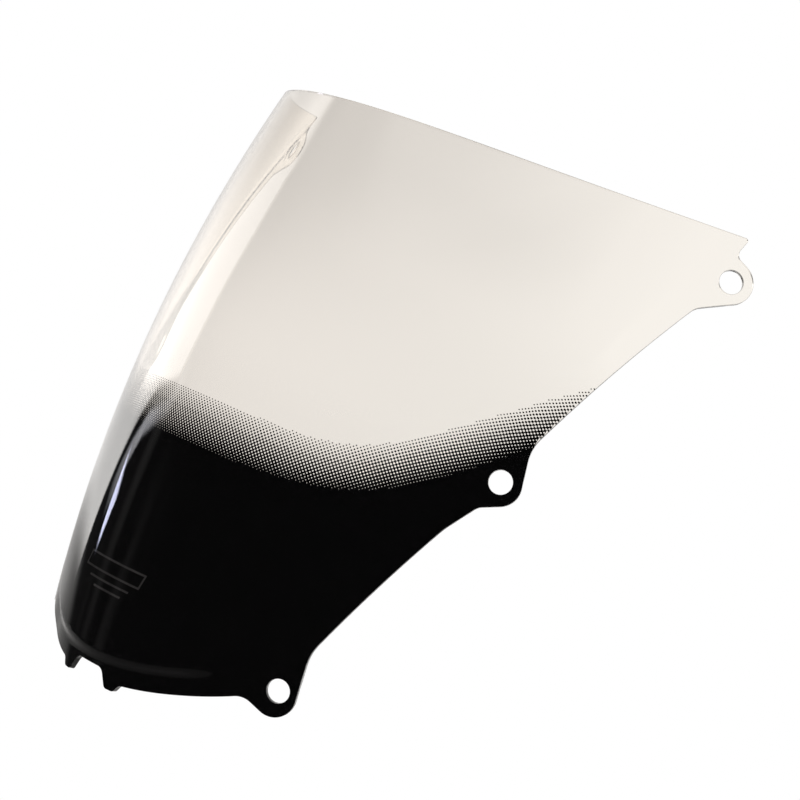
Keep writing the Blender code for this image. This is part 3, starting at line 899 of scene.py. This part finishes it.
def stage_look(name, direct, mirrored):
    """A stage material of two shaders: one for rays that have been mirrored, and one for all others."""
    look = bpy.data.materials.new(name)
    look.use_nodes = True
    tree = look.node_tree
    tree.nodes.remove(tree.nodes["Principled BSDF"])
    mix = tree.nodes.new("ShaderNodeMixShader")
    tree.links.new(was_mirrored(tree), mix.inputs[0])
    tree.links.new(direct(tree), mix.inputs[1])
    tree.links.new(mirrored(tree), mix.inputs[2])
    tree.links.new(mix.outputs[0], tree.nodes["Material Output"].inputs["Surface"])
    return look


def clear(tree):
    return tree.nodes.new("ShaderNodeBsdfTransparent").outputs[0]


def white_glow(tree):
    glow = tree.nodes.new("ShaderNodeEmission")
    glow.inputs["Color"].default_value = (*WHITE, 1)
    return glow.outputs[0]


def painted_glow(tree):
    paint = tree.nodes.new("ShaderNodeAttribute")
    paint.attribute_name = "glow"
    glow = tree.nodes.new("ShaderNodeEmission")
    tree.links.new(paint.outputs["Color"], glow.inputs["Color"])
    return glow.outputs[0]


def make_floor():
    """A wide pale floor, evenly lit. The screen doesn't mirror it: it mirrors the studio wall."""
    data = bpy.data.meshes.new("floor")
    ring = [(FLOOR_RADIUS * math.cos(a), FLOOR_RADIUS * math.sin(a), FLOOR_LEVEL)
            for a in np.linspace(0, math.tau, FLOOR_SIDES + 1)[:-1]]
    data.from_pydata(ring, [], [list(range(len(ring)))])
    data.materials.append(stage_look("floor", white_glow, clear))
    floor = bpy.data.objects.new("floor", data)
    bpy.context.scene.collection.objects.link(floor)


def step_at(distance, softness):
    """0 well outside an edge and 1 well inside it. Distances are in degrees."""
    return ease(0.5 + distance / (2 * softness))


def between(value, ends, softness):
    """1 between two edges and 0 outside them. Each edge has its own softness."""
    return step_at(value - ends[0], softness[0]) * step_at(ends[1] - value, softness[1])


def softbox_glow(azimuth, elevation, rise):
    """One big softbox with a bent near edge and a slanted foot, dimming upwards and to its far side. Also
    gives how far each direction lies above the foot, in degrees."""
    foot = elevation - BOX_FOOT[1] - BOX_FOOT_SLOPE * (np.minimum(azimuth, BOX_BEND) - BOX_FOOT[0])
    box = step_at(np.interp(elevation, BOX_EDGE[1], BOX_EDGE[0]) - azimuth, BOX_SIDE_SOFTNESS)
    box = box * step_at(BOX_TOP - elevation, BOX_TOP_SOFTNESS) * step_at(foot, BOX_FOOT_SOFTNESS)
    core = BOX_CORE * np.exp(np.minimum(0, azimuth - BOX_BEND) / BOX_FALL) * (1 - CORE_DIMMING * rise)
    return box * (BOX_GLOW * (1 - BOX_DIMMING * rise) + core), foot


def table_glow(azimuth, elevation, foot):
    """A table below the softbox that dims to the far side, and is bright low down and behind."""
    fall = np.exp((TABLE_TURN - np.maximum(azimuth, TABLE_TURN)) / TABLE_FALL)
    upper = (TABLE_GLOW + TABLE_GAIN * fall) * step_at(-foot, TABLE_SOFTNESS)
    lower = LOW_TABLE_GLOW + LOW_TABLE_GAIN * between(azimuth, BEHIND, BEHIND_SOFTNESS)
    return np.maximum(upper, lower * step_at(LOW_TABLE - elevation, LOW_TABLE_SOFTNESS))


def strip_glow(azimuth, elevation):
    """A slim strip light beside the softbox's near edge."""
    off = np.abs(azimuth - np.interp(elevation, BOX_EDGE[1], BOX_EDGE[0]) - STRIP_OFFSET)
    half = STRIP_HALF - STRIP_TAPER[0] * ease(elevation / STRIP_TAPER[1])
    return step_at(half - off, STRIP_SOFTNESS) * np.interp(elevation, *STRIP_LEVEL)


def window_glow(azimuth, elevation):
    """A small cool window that widens upwards."""
    half = WINDOW_HALF[0] + WINDOW_SPREAD * (elevation - WINDOW_FOOT)
    return (step_at(half - np.abs(azimuth - WINDOW[0]), WINDOW_SOFTNESS)
            * step_at(WINDOW_HALF[1] - np.abs(elevation - WINDOW[1]), WINDOW_SOFTNESS))


def fold_glow(azimuth, elevation):
    """Dim upright folds of a curtain on the dark side of the studio."""
    waves = (np.sin(np.radians(azimuth * FOLD_WAVES[0]))
             + np.sin(np.radians(azimuth * FOLD_WAVES[1] + elevation * FOLD_LEAN)))
    shown = between(azimuth, FOLDS, FOLDS_SOFTNESS) * between(elevation, FOLD_LEVELS, FOLD_LEVELS_SOFTNESS)
    return FOLD_GLOW * np.maximum(0, waves) * shown


def wall_glow(azimuth, elevation):
    """Brightness of the studio wall that the screen mirrors, by direction in degrees."""
    rise = ease((elevation - RISE_START) / RISE_SPAN)
    softbox, foot = softbox_glow(azimuth, elevation, rise)
    lamps = softbox + table_glow(azimuth, elevation, foot)
    backdrop = BACKDROP_GLOW - BACKDROP_DIMMING * rise
    backdrop = backdrop * between(azimuth, BACKDROP, (BACKDROP_SOFTNESS, BACKDROP_SOFTNESS))
    ceiling = CEILING_GLOW * step_at(elevation - CEILING_EDGE, CEILING_SOFTNESS)
    plain = np.maximum(np.maximum(lamps, backdrop), ceiling + fold_glow(azimuth, elevation))
    return (WALL_GLOW + plain[:, None] * LAMP_TINT + strip_glow(azimuth, elevation)[:, None] * STRIP_TINT
            + window_glow(azimuth, elevation)[:, None] * WINDOW_TINT)


def fine_between(start, fine, end):
    """Degrees from start to end: fine steps between two limits, and coarse ones on either side."""
    return np.concatenate((np.arange(start, fine[0], WALL_STEP), np.arange(*fine, WALL_FINE_STEP),
                           np.arange(fine[1], end, WALL_STEP)))


def make_light_wall():
    """The wall with the lights, a curved sheet far out that only rays mirrored by the screen see."""
    azimuths = fine_between(*WALL_AZIMUTHS)
    elevations = fine_between(*WALL_ELEVATIONS)
    azimuth, elevation = (grid.ravel() for grid in np.meshgrid(azimuths, elevations))
    a, e = np.radians(azimuth), np.radians(elevation)
    way = np.stack((np.sin(a) * np.cos(e), -np.cos(a) * np.cos(e), np.sin(e)), 1)
    place = WALL_DISTANCE * way + WALL_CENTRE
    n, m = len(azimuths), len(elevations)
    starts = [r * n + c for r in range(m - 1) for c in range(n - 1)]
    faces = [[i, i + 1, i + n + 1, i + n] for i in starts]
    data = bpy.data.meshes.new("light_wall")
    data.from_pydata(place.tolist(), [], faces)
    glow = np.column_stack((wall_glow(azimuth, elevation), np.ones(len(azimuth))))
    paint = data.attributes.new("glow", "FLOAT_COLOR", "POINT")
    paint.data.foreach_set("color", glow.astype(np.float32).ravel())
    look = stage_look("light_wall", clear, painted_glow)
    look.cycles.emission_sampling = "NONE"
    data.materials.append(look)
    wall = bpy.data.objects.new("light_wall", data)
    bpy.context.scene.collection.objects.link(wall)
    wall.visible_camera = wall.visible_diffuse = wall.visible_shadow = False


def make_camera():
    data = bpy.data.cameras.new("camera")
    data.sensor_width = 36
    data.lens = LENS
    data.clip_end = 100
    camera = bpy.data.objects.new("camera", data)
    camera.location = EYE
    camera.rotation_mode = "QUATERNION"
    camera.rotation_quaternion = (Vector(TARGET) - Vector(EYE)).to_track_quat("-Z", "Y")
    bpy.context.scene.collection.objects.link(camera)
    bpy.context.scene.camera = camera


def build_screen():
    points, triangles = half_plan()
    middle = points[triangles].mean(1)
    low = middle[:, 1] < band_line(middle[:, 0], BAND_FOOT)

    full_points, full_triangles = both_halves(points, triangles)
    out = outward(full_points, full_triangles.tolist())
    clear_sheet(full_points, out, full_triangles.tolist(), acrylic_look())

    ink = [ink_look("black_ink_front", INK_FRONT_COLOURS, True),
           ink_look("black_ink_back", INK_BACK_COLOURS, False)]
    full_points, full_triangles = both_halves(points, triangles[low])
    film("black_film", full_points, out, full_triangles.tolist(), INK_FRONT, INK_BACK, ink,
         "black_print")

    rim = drawn_in(half_rim(), DOT_MARGIN)
    rings = [arc_points(hole, HOLE_RADIUS + DOT_MARGIN, 0, math.tau)[:-1] for hole in HOLES]
    dot_points, dot_faces = dot_plan(rim, rings)
    still = np.zeros((len(dot_points), 3))
    left = [face for face in dot_faces if dot_points[face][:, 0].mean() > 0]
    right = [face for face in dot_faces if dot_points[face][:, 0].mean() <= 0]
    for name, faces in (("halftone_left", left), ("halftone_right", right)):
        film(name, dot_points, still, faces, DOT_FRONT, DOT_BACK, ink, "halftone_print")

    mark = ink_look("mark_ink", MARK_COLOURS, True)
    mark_points, mark_faces = mark_plan()
    film("mark_plain", mark_points, still[:len(mark_points)], mark_faces, MARK_FRONT, MARK_BACK, [mark, mark],
         "maker_mark")


build_screen()
make_world()
make_floor()
make_light_wall()
make_camera()
bpy.context.scene.view_settings.view_transform = "Standard"
bpy.context.scene.view_settings.look = "None"
